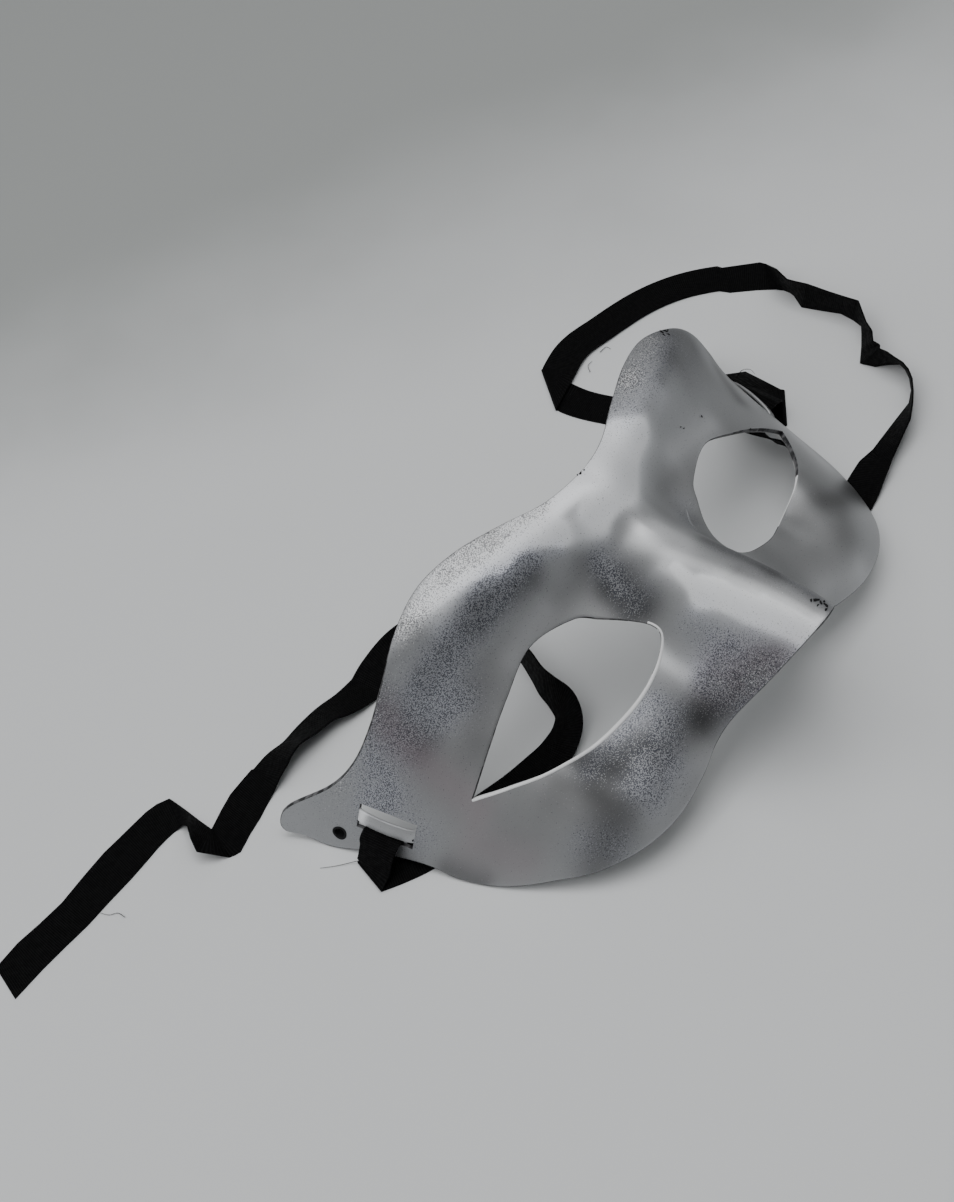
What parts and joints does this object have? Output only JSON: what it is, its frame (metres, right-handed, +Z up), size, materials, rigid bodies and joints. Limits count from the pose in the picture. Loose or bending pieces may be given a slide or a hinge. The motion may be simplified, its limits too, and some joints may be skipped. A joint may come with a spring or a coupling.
{
  "type": "half mask",
  "caption": "Half mask in silver-painted moulded plastic with almond eye holes, a long nose ridge and a loose black ribbon tie at each temple.",
  "frame": {"origin": "middle of the mask's footprint on the surface it lies on", "axes": "+X from the left temple to the right temple as seen from the front, +Y from the nose's end towards the brow, +Z up, away from the surface"},
  "size_m": [0.2894, 0.1423, 0.0656],
  "materials": {
    "silver_paint": "metallic silver paint, satin, finely speckled",
    "black_ribbon": "fine cross ribs, matt with a low sheen"
  },
  "bodies": {
    "root": {"mask_shell": "silver_paint", "ribbon_left": "black_ribbon", "ribbon_right": "black_ribbon"}
  },
  "joints": []
}
